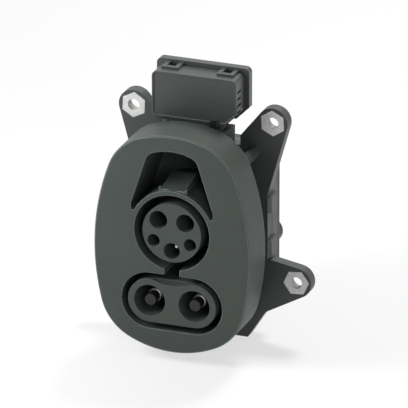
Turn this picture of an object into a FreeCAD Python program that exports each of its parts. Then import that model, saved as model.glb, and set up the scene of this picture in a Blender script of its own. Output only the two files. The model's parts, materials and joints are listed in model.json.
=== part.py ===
import FreeCAD, Part

import math
import os
from types import SimpleNamespace

import Sketcher

# Vehicle charging inlet with AC and DC contacts and a motor-driven plug lock on top.
# X is to the right as seen from the plug side, Z is up and Y goes back into the vehicle.
# The origin is where the AC axis meets the seat plane at the back of the mounting plate.
# A "level" of a front sketch is the height in front of that plane, so the face has the highest.

SIZES = {
    # Shroud: the egg-shaped front, drawn with tangent arcs
    "face_level": 56.0,
    "shroud_depth": 24.3,
    "shroud_wall": 2.5,
    "face_wall": 3.0,
    "shroud_top": 56.7,
    "shroud_bottom": 70.8,
    "shroud_width": 91.4,
    "shroud_widest_below": 12.0,
    "top_radius": 60.0,
    "shoulder_radius": 30.0,
    "side_radius": 137.0,
    "lower_radius": 30.0,
    "bottom_radius": 58.0,
    "rim_chamfer": 0.6,
    # AC tube, its groove and the insert in the middle
    "ac_boss_radius": 17.1,
    "ac_groove_radius": 22.1,
    "ac_tube_wall": 2.5,
    "groove_depth": 38.0,
    "insert_flange_radius": 19.8,
    "insert_flange_thickness": 3.5,
    "insert_fit": 0.1,
    # AC contact places and bores
    "power_spacing": 15.7,
    "power_rise": 6.8,
    "power_hole_radius": 5.3,
    "power_pin_radius": 1.8,
    "signal_spacing": 21.3,
    "signal_drop": 5.6,
    "signal_hole_radius": 3.65,
    "signal_pin_radius": 0.75,
    "earth_drop": 10.6,
    "earth_hole_radius": 4.75,
    "earth_pin_radius": 1.4,
    "contact_hole_depth": 33.0,
    "pin_setback": 11.0,
    "earth_setback": 7.0,
    "crimp_wall": 0.9,
    "crimp_length": 17.0,
    "contact_fit": 0.02,
    # DC groove, insert and contacts
    "dc_spacing": 26.1,
    "dc_drop": 41.6,
    "dc_hole_radius": 9.15,
    "dc_boss_radius": 12.7,
    "dc_groove_radius": 16.5,
    "dc_tube_wall": 2.4,
    "collar_radius": 31.3,
    "collar_relief_depth": 3.3,
    "dc_pin_radius": 4.0,
    "dc_pin_setback": 8.0,
    "dc_tip_radius": 3.2,
    "dc_tip_setback": 1.3,
    "dc_tip_spigot_radius": 1.5,
    "dc_tip_spigot_length": 6.0,
    "dc_collar_radius": 6.5,
    "dc_collar_length": 3.0,
    "dc_barrel_radius": 6.0,
    "dc_barrel_bore_radius": 4.75,
    "dc_barrel_bore_depth": 20.0,
    "dc_sleeve_radius": 7.4,
    "dc_sleeve_end": 65.8,
    "dc_barrel_setback": 1.0,
    "groove_link_width": 9.0,
    # Latch recess above the AC tube and the catch in it
    "recess_top": 48.2,
    "recess_top_half": 14.2,
    "recess_shoulder": 44.7,
    "recess_arch_rise": 1.2,
    "recess_arch_radius": 30.0,
    "recess_corner_radius": 6.5,
    "recess_low_half": 24.1,
    "recess_low_height": 14.5,
    "recess_bend_radius": 6.0,
    "recess_foot": 10.7,
    "recess_tip_radius": 1.1,
    "recess_depth": 38.0,
    "block_half": 18.9,
    "block_top": 48.9,
    "block_low_half": 26.3,
    "block_low_height": 14.0,
    "block_bend_height": 36.0,
    "catch_width": 14.0,
    "catch_front": 2.0,
    "catch_crest": 20.0,
    "catch_rise": 28.6,
    "catch_land": 1.4,
    "nib_width": 1.2,
    "nib_length": 2.6,
    "nib_height": 0.8,
    # Pillars between shroud and plate
    "pillar_radius": 3.25,
    "upper_pillar_half": 30.7,
    "upper_pillar_height": 34.8,
    "lower_pillar_half": 24.0,
    "lower_pillar_drop": 59.5,
    # Mounting plate
    "plate_thickness": 7.3,
    "pad_height": 0.6,
    "pad_inset": 0.6,
    "upper_bolt_spacing": 81.6,
    "upper_bolt_height": 52.4,
    "lower_bolt_spacing": 110.0,
    "lower_bolt_drop": 40.2,
    "ear_radius": 8.8,
    "plate_top_half": 22.0,
    "plate_top": 37.3,
    "ear_foot_height": 43.0,
    "plate_half": 38.1,
    "ear_root_height": 10.0,
    "lower_ear_root_drop": 28.2,
    "plate_corner_half": 37.0,
    "plate_corner_drop": 60.2,
    "plate_foot_half": 26.6,
    "plate_bottom": 76.5,
    "bolt_hole_radius": 4.2,
    "nut_across_flats": 13.0,
    "nut_thickness": 5.0,
    "nut_bore_radius": 3.4,
    "nut_fit": 0.02,
    "upper_nut_turn": 27.0,
    "lower_nut_turn": 5.5,
}
# Plug lock on top: sizes of its box, bolt and gears
SIZES.update({
    "actuator_width": 49.4,
    "actuator_bottom": 53.4,
    "actuator_top": 80.0,
    "actuator_front_level": 21.5,
    "parting_level": 7.5,
    "parting_gap": 0.3,
    "lid_back_level": 2.5,
    "lid_overhang": 2.4,
    "actuator_wall": 1.5,
    "lid_wall": 1.6,
    "actuator_corner": 3.0,
    "actuator_cut": 6.0,
    "lid_cut": 7.5,
    "panel_rim": 1.0,
    "panel_depth": 0.5,
    "foot_width": 9.7,
    "foot_height": 2.9,
    "foot_front_level": 17.5,
    "clip_spacing": 32.4,
    "clip_width": 9.8,
    "clip_front_level": 16.0,
    "clip_thickness": 1.2,
    "clip_window_width": 5.0,
    "clip_window_length": 6.7,
    "clip_gap": 0.3,
    "clip_lug_height": 1.0,
    "clip_lug_length": 3.4,
    "clip_lug_land": 0.8,
    "clip_pit_depth": 0.9,
    "pedestal_half": 15.0,
    "pedestal_front_level": 18.0,
    "bolt_offset": 8.0,
    "bolt_width": 7.0,
    "bolt_front_level": 15.0,
    "bolt_back_level": 10.0,
    "bolt_clearance": 0.3,
    "bolt_travel": 6.0,
    "bolt_top": 76.6,
    "finger_half": 5.0,
    "finger_front_level": 30.0,
    "finger_top": 44.0,
    "finger_height": 6.0,
    "finger_nose": 1.5,
    "chamber_margin": 0.8,
    "seal_height": 2.4,
    "seal_wall": 1.2,
    "module": 0.8,
    "rack_foot": 62.6,
    "pinion_teeth": 10,
    "wheel_teeth": 24,
    "backlash": 0.16,
    "gear_height": 66.8,
    "wheel_back_level": 5.3,
    "wheel_front_level": 8.5,
    "gear_pin_radius": 1.0,
    "gear_running_fit": 0.05,
    "motor_radius": 7.6,
    "motor_back_level": 9.3,
    "motor_nose_radius": 3.0,
    "motor_nose_length": 0.5,
    "motor_shaft_radius": 0.75,
    "board_thickness": 1.2,
    "board_margin": 1.0,
    "terminal_pitch": 3.93,
    "terminal_top": 72.2,
    "terminal_slot_height": 1.3,
    "terminal_slot_front": 19.5,
    "terminal_slot_back": 13.7,
    "terminal_thickness": 0.8,
    "terminal_inset": 2.6,
    "terminal_recess": 1.8,
    "switch_width": 6.0,
    "switch_height": 8.0,
    "switch_drop": 1.0,
    "switch_level": 12.0,
    "plunger_radius": 0.8,
    "plunger_level": 13.5,
    "switch_reach": 2.2,
    "lid_screw_radius": 1.25,
    "lid_screw_flats": 4.0,
    "lid_screw_head_height": 1.6,
    "lid_post_radius": 2.6,
    "lid_post_inset": 3.4,
    "gear_post_radius": 2.2,
    "gear_gap": 0.3,
    "board_hole_gap": 0.3,
    "seal_gap": 0.1,
    "spring_clip_place": 11.7,
    "spring_clip_width": 4.0,
    "spring_clip_thickness": 0.8,
    "spring_clip_rise": 2.4,
    "spring_clip_drop": 3.4,
})

# Rear side: housing, cover and sleeves behind the mounting plate
SIZES.update({
    "rear_half": 38.1,
    "rear_top": 34.0,
    "rear_bottom": 64.0,
    "rear_corner": 12.0,
    "rear_rim_depth": 8.0,
    "rear_wall": 2.5,
    "chamber_half": 24.5,
    "chamber_top": 20.0,
    "chamber_bottom": 58.0,
    "chamber_corner": 8.0,
    "chamber_end": 44.0,
    "chamber_draft": 7.0,
    "cover_thickness": 4.0,
    "seal_half": 18.4,
    "seal_top": 10.4,
    "seal_bottom": 16.4,
    "seal_corner": 5.0,
    "seal_length": 9.0,
    "seal_ledge": 1.5,
    "collar_wall": 1.6,
    "wire_bore_radius": 1.9,
    "signal_wire_spacing": 20.0,
    "power_wire_spacing": 14.0,
    "power_wire_height": 6.0,
    "signal_wire_drop": 12.0,
    "snap_rib_thickness": 1.8,
    "snap_rib_front_level": 7.3,
    "snap_rib_end": 5.2,
    "upper_rib_low": 1.2,
    "upper_rib_high": 7.8,
    "lower_rib_low": 28.0,
    "lower_rib_high": 17.8,
    "screw_radius": 1.75,
    "screw_flats": 6.0,
    "screw_head_height": 2.2,
    "screw_reach": 9.0,
    "pilot_spare": 1.0,
    "screw_hole_gap": 0.3,
    "cover_screw_half": 19.0,
    "cover_screw_high": 14.5,
    "cover_screw_low": 52.5,
    "rear_screw_half": 31.5,
    "rear_screw_high": 27.4,
    "rear_screw_low": 57.4,
    "gasket_width": 2.0,
    "gasket_thickness": 1.0,
    "screw_sink": 3.1,
    "boss_wall": 2.2,
    "cover_boss_length": 12.0,
    "sleeve_length": 34.0,
    "sleeve_flange": 0.8,
    "sleeve_flange_length": 2.0,
    "sensor_band": 1.0,
    "sensor_width": 4.0,
    "sensor_height": 2.5,
    "sensor_back": 24.0,
    "sensor_length": 8.0,
})

FRONT = "XZ_Plane"
TOP = "XY_Plane"
SIDE = "YZ_Plane"
START, END, CENTRE = 1, 2, 3
NORMAL = FreeCAD.Vector(0, 0, 1)
PRESSURE_ANGLE = math.radians(20.0)
ADDENDUM = 1.0
DEDENDUM = 1.25
RACK_TEETH = 5
TERMINALS = 4


class Size:
    """A length in millimetres together with the sheet expression that gives it."""

    def __init__(self, number, text):
        self.number = number
        self.text = text

    def __float__(self):
        return float(self.number)

    def __add__(self, other):
        return Size(float(self) + float(other), f"({self.text} + {as_text(other)})")

    def __radd__(self, other):
        return Size(float(other) + float(self), f"({as_text(other)} + {self.text})")

    def __sub__(self, other):
        return Size(float(self) - float(other), f"({self.text} - {as_text(other)})")

    def __rsub__(self, other):
        return Size(float(other) - float(self), f"({as_text(other)} - {self.text})")

    def __mul__(self, other):
        return Size(float(self) * float(other), f"({self.text} * {as_text(other)})")

    def __rmul__(self, other):
        return Size(float(other) * float(self), f"({as_text(other)} * {self.text})")

    def __truediv__(self, other):
        return Size(float(self) / float(other), f"({self.text} / {as_text(other)})")

    def __neg__(self):
        return Size(-float(self), f"(0 - {self.text})")


def as_text(value):
    return value.text if isinstance(value, Size) else repr(float(value))


def make_sheet(doc):
    """Write the driving sizes into a sheet and return them as named Size values."""
    sheet = doc.addObject("Spreadsheet::Sheet", "Sizes")
    for row, (name, value) in enumerate(SIZES.items(), start=1):
        sheet.set(f"A{row}", name)
        sheet.set(f"B{row}", str(value))
        sheet.setAlias(f"B{row}", name)
    doc.recompute()
    return SimpleNamespace(**{name: Size(sheet.get(name), f"Sizes.{name}") for name in SIZES})


doc = FreeCAD.newDocument("VehicleInlet")
S = make_sheet(doc)
SEAT = 0.0 * S.plate_thickness


def bind(thing, path, value):
    """Give a property its value and, where it comes from the sheet, its expression."""
    if isinstance(value, Size):
        thing.setExpression(path, value.text)
    elif value:
        thing.setExpression(path, as_text(value))


def make_body(label):
    body = doc.addObject("PartDesign::Body", label)
    body.Label = label
    return body


def sketch_on(body, role, level, shift_x=0.0, shift_y=0.0):
    """A sketch on one of the body's own planes, moved along its normal to a level."""
    sketch = body.newObject("Sketcher::SketchObject", "Sketch")
    plane = next(item for item in body.Origin.OriginFeatures if item.Role == role)
    sketch.AttachmentSupport = [(plane, "")]
    sketch.MapMode = "FlatFace"
    bind(sketch, "AttachmentOffset.Base.z", level)
    bind(sketch, "AttachmentOffset.Base.x", shift_x)
    bind(sketch, "AttachmentOffset.Base.y", shift_y)
    return sketch


class Drawing:
    """Shapes and constraints gathered for one sketch and solved together."""

    def __init__(self, sketch):
        self.sketch = sketch
        self.rules = []

    def shape(self, geometry, construction=False):
        return self.sketch.addGeometry(geometry, construction)

    def rule(self, *words):
        self.rules.append((Sketcher.Constraint(*words), None))

    def sized(self, kind, *words):
        """A constraint whose last word is a size that stays bound to the sheet."""
        size = words[-1]
        constraint = Sketcher.Constraint(kind, *words[:-1], float(size))
        self.rules.append((constraint, size if isinstance(size, Size) else None))

    def place(self, shape, point, x, y):
        self.sized("DistanceX", shape, point, x)
        self.sized("DistanceY", shape, point, y)

    def finish(self):
        first = self.sketch.ConstraintCount
        self.sketch.addConstraint([rule for rule, _ in self.rules])
        for index, (_, size) in enumerate(self.rules, start=first):
            if size is not None:
                self.sketch.setExpression(f"Constraints[{index}]", size.text)


def circle(x, y, radius):
    def draw(drawing):
        centre = FreeCAD.Vector(float(x), float(y), 0)
        index = drawing.shape(Part.Circle(centre, NORMAL, float(radius)))
        drawing.place(index, CENTRE, x, y)
        drawing.sized("Radius", index, radius)
    return draw


def boss(x, y, radius):
    """An outline's corner that is an arc about its own centre."""
    return SimpleNamespace(x=x, y=y, radius=radius, about_centre=True)


def corner(x, y, radius=None):
    """An outline's corner at a point, sharp or rounded."""
    return SimpleNamespace(x=x, y=y, radius=radius, about_centre=False)


def edge_between(a, b):
    """The straight edge from corner a to b, tangent to the bosses at its ends."""
    first, last = FreeCAD.Vector(float(a.x), float(a.y), 0), FreeCAD.Vector(float(b.x), float(b.y), 0)
    first_radius = float(a.radius) if a.about_centre else 0.0
    last_radius = float(b.radius) if b.about_centre else 0.0
    run = last - first
    turn = math.atan2(run.y, run.x) + math.asin((first_radius - last_radius) / run.Length)
    outward = FreeCAD.Vector(math.sin(turn), -math.cos(turn), 0)
    return first + outward * first_radius, last + outward * last_radius


def arc_through(centre, start, end, clockwise):
    """The arc from start to end about a centre, and which of its ends comes first."""
    first, last = (end, start) if clockwise else (start, end)
    angles = [math.atan2(point.y - centre.y, point.x - centre.x) for point in (first, last)]
    rim = Part.Circle(centre, NORMAL, (start - centre).Length)
    return Part.ArcOfCircle(rim, *angles), (END, START) if clockwise else (START, END)


def outline(*corners):
    """A closed anticlockwise outline of straight edges between sharp, round or boss corners."""
    def draw(drawing):
        count = len(corners)
        edges = [list(edge_between(corners[i], corners[(i + 1) % count])) for i in range(count)]
        arcs = [None] * count
        for i, place in enumerate(corners):
            before, after = edges[i - 1], edges[i]
            if place.about_centre:
                centre = FreeCAD.Vector(float(place.x), float(place.y), 0)
                arcs[i] = arc_through(centre, before[1], after[0], False)
            elif place.radius is not None:
                arcs[i] = round_corner(before, after, float(place.radius))
        lines = [drawing.shape(Part.LineSegment(*edge)) for edge in edges]
        for i, place in enumerate(corners):
            join_edges(drawing, lines[i - 1], lines[i], place, arcs[i])
    return draw


def round_corner(before, after, radius):
    """Shorten two edges that meet in a corner and return the arc between them."""
    tip = FreeCAD.Vector(after[0])
    back = (before[0] - tip).normalize()
    ahead = (after[1] - tip).normalize()
    half_angle = back.getAngle(ahead) / 2
    reach = radius / math.tan(half_angle)
    before[1] = tip + back * reach
    after[0] = tip + ahead * reach
    centre = tip + (back + ahead).normalize() * (radius / math.sin(half_angle))
    clockwise = back.cross(ahead).z > 0
    return arc_through(centre, before[1], after[0], clockwise)


def join_edges(drawing, before, after, place, arc):
    if arc is None:
        drawing.rule("Coincident", before, END, after, START)
        drawing.place(after, START, place.x, place.y)
        return
    geometry, (enter, leave) = arc
    index = drawing.shape(geometry)
    drawing.rule("Tangent", before, END, index, enter)
    drawing.rule("Tangent", index, leave, after, START)
    drawing.sized("Radius", index, place.radius)
    if place.about_centre:
        drawing.place(index, CENTRE, place.x, place.y)
        return
    tip = drawing.shape(Part.Point(FreeCAD.Vector(float(place.x), float(place.y), 0)), True)
    drawing.place(tip, START, place.x, place.y)
    drawing.rule("PointOnObject", tip, START, before)
    drawing.rule("PointOnObject", tip, START, after)


def box(left, bottom, right, top, radius=None):
    return outline(corner(left, bottom, radius), corner(right, bottom, radius),
                   corner(right, top, radius), corner(left, top, radius))


def slot(half, y, radius):
    """A level slot with round ends about (-half, y) and (half, y)."""
    return outline(boss(-half, y, radius), boss(half, y, radius))


def add(body, role, low, high, *profiles, taper=None):
    """Pad the profiles from one level of a plane to a higher one."""
    return extrude(body, "PartDesign::Pad", role, low, high - low, profiles, taper)


def cut(body, role, low, high, *profiles, taper=None):
    """Pocket the profiles from one level of a plane down to a lower one."""
    return extrude(body, "PartDesign::Pocket", role, high, high - low, profiles, taper)


def extrude(body, kind, role, level, length, profiles, taper):
    sketch = sketch_on(body, role, level)
    drawing = Drawing(sketch)
    for profile in profiles:
        profile(drawing)
    drawing.finish()
    feature = body.newObject(kind, kind.split("::")[1])
    feature.Profile = sketch
    bind(feature, "Length", length)
    if taper is not None:
        bind(feature, "TaperAngle", taper)
    return feature


def turned(body, x, z, *steps):
    """Revolve a stepped profile of (level, radius) pairs about a line along Y through (x, z)."""
    sketch = sketch_on(body, SIDE, x, shift_y=z)
    drawing = Drawing(sketch)
    levels = [corner(-level, radius) for level, radius in steps]
    outline(corner(-steps[0][0], 0.0), *levels, corner(-steps[-1][0], 0.0))(drawing)
    drawing.finish()
    feature = body.newObject("PartDesign::Revolution", "Turned")
    feature.Profile = sketch
    feature.ReferenceAxis = (sketch, ["H_Axis"])
    return feature


def group(label, *members):
    """One sub-part of several equal solids: each member is (object, x, y, z)."""
    compound = doc.addObject("Part::Compound", label)
    compound.Label = label
    links = []
    for source, *place in members:
        link = doc.addObject("App::Link", f"{label}_copy")
        link.LinkedObject = source
        for axis, value in zip("xyz", place):
            bind(link, f"Placement.Base.{axis}", value)
        links.append(link)
    compound.Links = links
    return compound


def meeting_centre(first, first_reach, second, second_reach):
    """The point at the given distances from two centres, on the left of the line between them."""
    line = second - first
    along = (first_reach**2 - second_reach**2 + line.Length**2) / (2 * line.Length)
    aside = math.sqrt(first_reach**2 - along**2)
    ahead = FreeCAD.Vector(line).normalize()
    return first + ahead * along + NORMAL.cross(ahead) * aside


def egg(inset=0.0):
    """The shroud's outline, moved inward by the inset: four wide arcs with four blends between."""
    half = S.shroud_width / 2
    mains = [
        (half - S.side_radius, -S.shroud_widest_below, S.side_radius - inset),
        (0.0, S.shroud_top - S.top_radius, S.top_radius - inset),
        (S.side_radius - half, -S.shroud_widest_below, S.side_radius - inset),
        (0.0, S.bottom_radius - S.shroud_bottom, S.bottom_radius - inset),
    ]
    blends = [S.shoulder_radius - inset, S.shoulder_radius - inset,
              S.lower_radius - inset, S.lower_radius - inset]

    def draw(drawing):
        centres = [FreeCAD.Vector(float(x), float(y), 0) for x, y, _ in mains]
        radii = [float(radius) for _, _, radius in mains]
        middles = []
        for i, blend in enumerate(blends):
            j = (i + 1) % len(mains)
            reach = (radii[i] - float(blend), radii[j] - float(blend))
            middles.append(meeting_centre(centres[i], reach[0], centres[j], reach[1]))
        arcs = []
        for i, centre in enumerate(centres):
            start = centre + (middles[i - 1] - centre).normalize() * radii[i]
            end = centre + (middles[i] - centre).normalize() * radii[i]
            j = (i + 1) % len(mains)
            after = centres[j] + (middles[i] - centres[j]).normalize() * radii[j]
            main = drawing.shape(arc_through(centre, start, end, False)[0])
            drawing.place(main, CENTRE, mains[i][0], mains[i][1])
            drawing.sized("Radius", main, mains[i][2])
            blend = drawing.shape(arc_through(middles[i], end, after, False)[0])
            drawing.sized("Radius", blend, blends[i])
            arcs += [main, blend]
        for i, arc in enumerate(arcs):
            drawing.rule("Tangent", arc, END, arcs[(i + 1) % len(arcs)], START)
    return draw


def chamfer_level(body, feature, level, size):
    """Chamfer every edge of a feature that lies in the plane at one level."""
    doc.recompute()
    edges = [f"Edge{number}" for number, edge in enumerate(feature.Shape.Edges, start=1)
             if abs(edge.BoundBox.YMin + float(level)) < 1e-4
             and abs(edge.BoundBox.YMax + float(level)) < 1e-4]
    bevel = body.newObject("PartDesign::Chamfer", "Chamfer")
    bevel.Base = (feature, edges)
    bind(bevel, "Size", size)
    return bevel


def latch_recess():
    """The arched opening above the AC tube, wider at its foot."""
    return outline(
        corner(-S.recess_low_half, S.recess_foot, S.recess_tip_radius),
        corner(S.recess_low_half, S.recess_foot, S.recess_tip_radius),
        corner(S.recess_low_half, S.recess_low_height, S.recess_bend_radius),
        corner(S.recess_top_half, S.recess_shoulder, S.recess_corner_radius),
        corner(0.0, S.recess_top + S.recess_arch_rise, S.recess_arch_radius),
        corner(-S.recess_top_half, S.recess_shoulder, S.recess_corner_radius),
        corner(-S.recess_low_half, S.recess_low_height, S.recess_bend_radius))


def latch_block():
    return outline(
        corner(-S.block_low_half, S.recess_low_height / 2),
        corner(S.block_low_half, S.recess_low_height / 2),
        corner(S.block_low_half, S.block_low_height + S.shroud_wall),
        corner(S.block_half, S.block_bend_height),
        corner(S.block_half, S.block_top),
        corner(-S.block_half, S.block_top),
        corner(-S.block_half, S.block_bend_height),
        corner(-S.block_low_half, S.block_low_height + S.shroud_wall))


def pillar_places():
    return [(S.upper_pillar_half, S.upper_pillar_height), (-S.upper_pillar_half, S.upper_pillar_height),
            (S.lower_pillar_half, -S.lower_pillar_drop), (-S.lower_pillar_half, -S.lower_pillar_drop)]


def make_front_housing():
    """One moulding: shroud, AC and DC tubes, latch recess, screw pillars and lock pedestal."""
    body = make_body("front_housing")
    inner_face = S.face_level - S.face_wall
    shroud_back = S.face_level - S.shroud_depth
    shell = add(body, FRONT, shroud_back, S.face_level, egg())
    chamfer_level(body, shell, S.face_level, S.rim_chamfer)
    cut(body, FRONT, shroud_back, inner_face, egg(S.shroud_wall))
    add(body, FRONT, S.plate_thickness, inner_face + S.face_wall / 2, latch_block())
    pillars = [circle(x, z, S.pillar_radius) for x, z in pillar_places()]
    add(body, FRONT, S.plate_thickness, inner_face + S.face_wall / 2, *pillars)
    add_pedestal(body)
    recess_back = S.face_level - S.recess_depth
    cut(body, FRONT, recess_back, S.face_level, latch_recess())
    cut_bolt_way(body, recess_back)
    add_tubes(body, S.plate_thickness, S.face_level)
    cut_grooves(body)
    add_catch(body)
    pilots = [circle(x, z, S.screw_radius) for x, z in pillar_places()]
    cut(body, FRONT, S.plate_thickness, S.plate_thickness + S.screw_reach + S.pilot_spare, *pilots)
    return body


def add_pedestal(body):
    """The neck that carries the plug lock's box on the latch block."""
    add(body, TOP, S.block_bend_height, S.actuator_bottom,
        box(-S.pedestal_half, -S.pedestal_front_level, S.pedestal_half, -S.plate_thickness))


def cut_bolt_way(body, recess_back):
    """The slot for the bolt's stem and the chamber behind the recess for its arm."""
    gap = S.bolt_clearance
    left = -S.bolt_offset - S.bolt_width / 2 - gap
    right = -S.bolt_offset + S.bolt_width / 2 + gap
    chamber_low = S.finger_top - S.finger_height - S.bolt_travel - S.chamber_margin
    cut(body, TOP, chamber_low, S.actuator_bottom,
        box(left, -S.bolt_front_level - gap, right, -S.bolt_back_level + gap))
    cut(body, FRONT, S.bolt_back_level - gap, recess_back,
        box(left, chamber_low, S.finger_half + S.chamber_margin, S.finger_top + S.chamber_margin))
    cut(body, TOP, S.actuator_bottom - S.seal_height, S.actuator_bottom,
        box(left - S.seal_wall, -S.bolt_front_level - gap - S.seal_wall,
            right + S.seal_wall, -S.bolt_back_level + gap + S.seal_wall))


def add_tubes(body, back, front):
    ac_radius = S.ac_groove_radius + S.ac_tube_wall
    add(body, FRONT, back, front, circle(0.0, 0.0, ac_radius))
    add(body, FRONT, back, front - S.face_wall / 2,
        slot(S.dc_spacing / 2, -S.dc_drop, S.dc_groove_radius + S.dc_tube_wall))


def cut_grooves(body):
    """Both plug grooves, the bores that the inserts fill and the recesses for their flanges."""
    floor = S.face_level - S.groove_depth
    roof = S.plate_thickness + S.insert_flange_thickness
    half = S.dc_spacing / 2
    cut(body, FRONT, floor, S.face_level, circle(0.0, 0.0, S.ac_groove_radius))
    cut(body, FRONT, floor, S.face_level, slot(half, -S.dc_drop, S.dc_groove_radius))
    cut(body, FRONT, roof, floor, circle(0.0, 0.0, S.ac_boss_radius + S.insert_fit),
        slot(half, -S.dc_drop, S.dc_boss_radius + S.insert_fit))
    cut(body, FRONT, S.plate_thickness, roof, circle(0.0, 0.0, S.insert_flange_radius + S.insert_fit))
    cut(body, FRONT, S.plate_thickness, roof, slot(half, -S.dc_drop, dc_flange_radius() + S.insert_fit))
    link_middle = -(S.ac_groove_radius + S.dc_drop - S.dc_groove_radius) / 2
    link_reach = S.ac_tube_wall + S.dc_tube_wall
    cut(body, FRONT, floor, S.face_level,
        box(-S.groove_link_width / 2, link_middle - link_reach,
            S.groove_link_width / 2, link_middle + link_reach))


def dc_flange_radius():
    return S.dc_boss_radius + (S.insert_flange_radius - S.ac_boss_radius)


def add_catch(body):
    """The ramp on top of the AC tube that the plug's latch snaps over, and its two side nibs."""
    foot = S.ac_groove_radius + S.ac_tube_wall / 2
    start = S.catch_front - S.face_level
    crest = S.catch_crest - S.face_level
    add(body, SIDE, -S.catch_width / 2, S.catch_width / 2, outline(
        corner(start, foot), corner(crest + S.catch_land, foot),
        corner(crest + S.catch_land, S.catch_rise), corner(crest, S.catch_rise),
        corner(start, S.ac_groove_radius + S.ac_tube_wall)))
    nib_top = S.ac_groove_radius + S.ac_tube_wall + S.nib_height
    for side in (-1, 1):
        middle = side * (S.catch_width + S.nib_width) / 2
        add(body, FRONT, S.face_level - S.catch_front - S.nib_length, S.face_level - S.catch_front,
            box(middle - S.nib_width / 2, foot, middle + S.nib_width / 2, nib_top))


def contact_places():
    """Each AC contact: its node, place, hole, pin radius and how far its tip lies behind the face."""
    power, signal = S.power_spacing / 2, S.signal_spacing / 2
    return [
        ("line_contact", -power, S.power_rise, S.power_hole_radius, S.power_pin_radius, S.pin_setback),
        ("neutral_contact", power, S.power_rise, S.power_hole_radius, S.power_pin_radius, S.pin_setback),
        ("earth_contact", 0.0, -S.earth_drop, S.earth_hole_radius, S.earth_pin_radius, S.earth_setback),
        ("pilot_contact", -signal, -S.signal_drop, S.signal_hole_radius, S.signal_pin_radius,
         S.pin_setback),
        ("proximity_contact", signal, -S.signal_drop, S.signal_hole_radius, S.signal_pin_radius,
         S.pin_setback),
    ]


def make_ac_insert():
    """The round contact carrier: a boss with five holes and a flange held against the plate."""
    body = make_body("ac_insert")
    back = S.plate_thickness
    add(body, FRONT, back, S.face_level, circle(0.0, 0.0, S.ac_boss_radius))
    add(body, FRONT, back, back + S.insert_flange_thickness, circle(0.0, 0.0, S.insert_flange_radius))
    holes = [circle(x, z, hole) for _, x, z, hole, _, _ in contact_places()]
    cut(body, FRONT, S.face_level - S.contact_hole_depth, S.face_level, *holes)
    bores = [circle(x, z, pin + S.contact_fit) for _, x, z, _, pin, _ in contact_places()]
    cut(body, FRONT, back, S.face_level - S.contact_hole_depth, *bores)
    return body


def make_dc_insert():
    """The contact carrier below, scooped out on top so that it clears the AC plug's collar."""
    body = make_body("dc_insert")
    back = S.plate_thickness
    half = S.dc_spacing / 2
    add(body, FRONT, back, S.face_level, slot(half, -S.dc_drop, S.dc_boss_radius))
    floor = S.face_level - S.groove_depth
    cut(body, FRONT, S.face_level - S.collar_relief_depth, S.face_level,
        circle(0.0, 0.0, S.collar_radius))
    add(body, FRONT, back, back + S.insert_flange_thickness, slot(half, -S.dc_drop, dc_flange_radius()))
    cut(body, FRONT, floor, S.face_level, circle(-half, -S.dc_drop, S.dc_hole_radius),
        circle(half, -S.dc_drop, S.dc_hole_radius))
    bore = S.dc_pin_radius + S.contact_fit
    cut(body, FRONT, back, floor, circle(-half, -S.dc_drop, bore), circle(half, -S.dc_drop, bore))
    return body


def make_ac_contact(label, x, z, pin_radius, setback):
    """A turned pin with a bevelled nose, a shoulder behind the insert and a crimp barrel."""
    body = make_body(label)
    tip = S.face_level - setback
    shoulder = S.plate_thickness
    barrel = pin_radius + S.crimp_wall
    turned(body, x, z, (tip, pin_radius / 2), (tip - pin_radius / 2, pin_radius),
           (shoulder, pin_radius), (shoulder, barrel), (shoulder - S.crimp_length, barrel))
    return body


def make_dc_contact(label, x):
    """A high-current pin: collar behind the insert, then a thick crimp barrel out to the rear."""
    body = make_body(label)
    tip = S.face_level - S.dc_pin_setback
    shoulder = S.plate_thickness
    collar_end = shoulder - S.dc_collar_length
    end = S.dc_barrel_setback - S.dc_sleeve_end
    turned(body, x, -S.dc_drop, (tip, S.dc_tip_radius), (tip - S.rim_chamfer, S.dc_pin_radius),
           (shoulder, S.dc_pin_radius), (shoulder, S.dc_collar_radius), (collar_end, S.dc_collar_radius),
           (collar_end, S.dc_barrel_radius), (end, S.dc_barrel_radius))
    cut(body, FRONT, end, end + S.dc_barrel_bore_depth, circle(x, -S.dc_drop, S.dc_barrel_bore_radius))
    cut(body, FRONT, tip - S.dc_tip_spigot_length, tip,
        circle(x, -S.dc_drop, S.dc_tip_spigot_radius + S.contact_fit))
    return body


def make_dc_tips():
    """Insulating finger guards plugged into the ends of the two high-current pins."""
    tip = make_body("dc_tip_source")
    front = S.face_level - S.dc_tip_setback
    root = S.face_level - S.dc_pin_setback
    spigot_end = root - S.dc_tip_spigot_length + S.contact_fit
    turned(tip, 0.0, -S.dc_drop, (front, S.dc_tip_radius), (root, S.dc_tip_radius),
           (root, S.dc_tip_spigot_radius), (spigot_end, S.dc_tip_spigot_radius))
    return group("dc_contact_tips", (tip, -S.dc_spacing / 2, 0.0, 0.0), (tip, S.dc_spacing / 2, 0.0, 0.0))


def bolt_places():
    """The four places where the plate is bolted down, with the turn of each nut in degrees."""
    upper, lower = S.upper_bolt_spacing / 2, S.lower_bolt_spacing / 2
    return [(upper, S.upper_bolt_height, -S.upper_nut_turn), (-upper, S.upper_bolt_height, S.upper_nut_turn),
            (lower, -S.lower_bolt_drop, S.lower_nut_turn), (-lower, -S.lower_bolt_drop, -S.lower_nut_turn)]


def plate_outline():
    upper, lower = S.upper_bolt_spacing / 2, S.lower_bolt_spacing / 2
    right = [
        corner(S.plate_foot_half, -S.plate_bottom),
        corner(S.plate_corner_half, -S.plate_corner_drop),
        boss(lower, -S.lower_bolt_drop, S.ear_radius),
        corner(S.plate_half, -S.lower_ear_root_drop),
        corner(S.plate_half, S.ear_root_height),
        boss(upper, S.upper_bolt_height, S.ear_radius),
        corner(S.plate_top_half, S.ear_foot_height),
        corner(S.plate_top_half, S.plate_top),
    ]
    left = [SimpleNamespace(**{**vars(place), "x": -place.x}) for place in reversed(right)]
    return outline(*right, *left)


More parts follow.
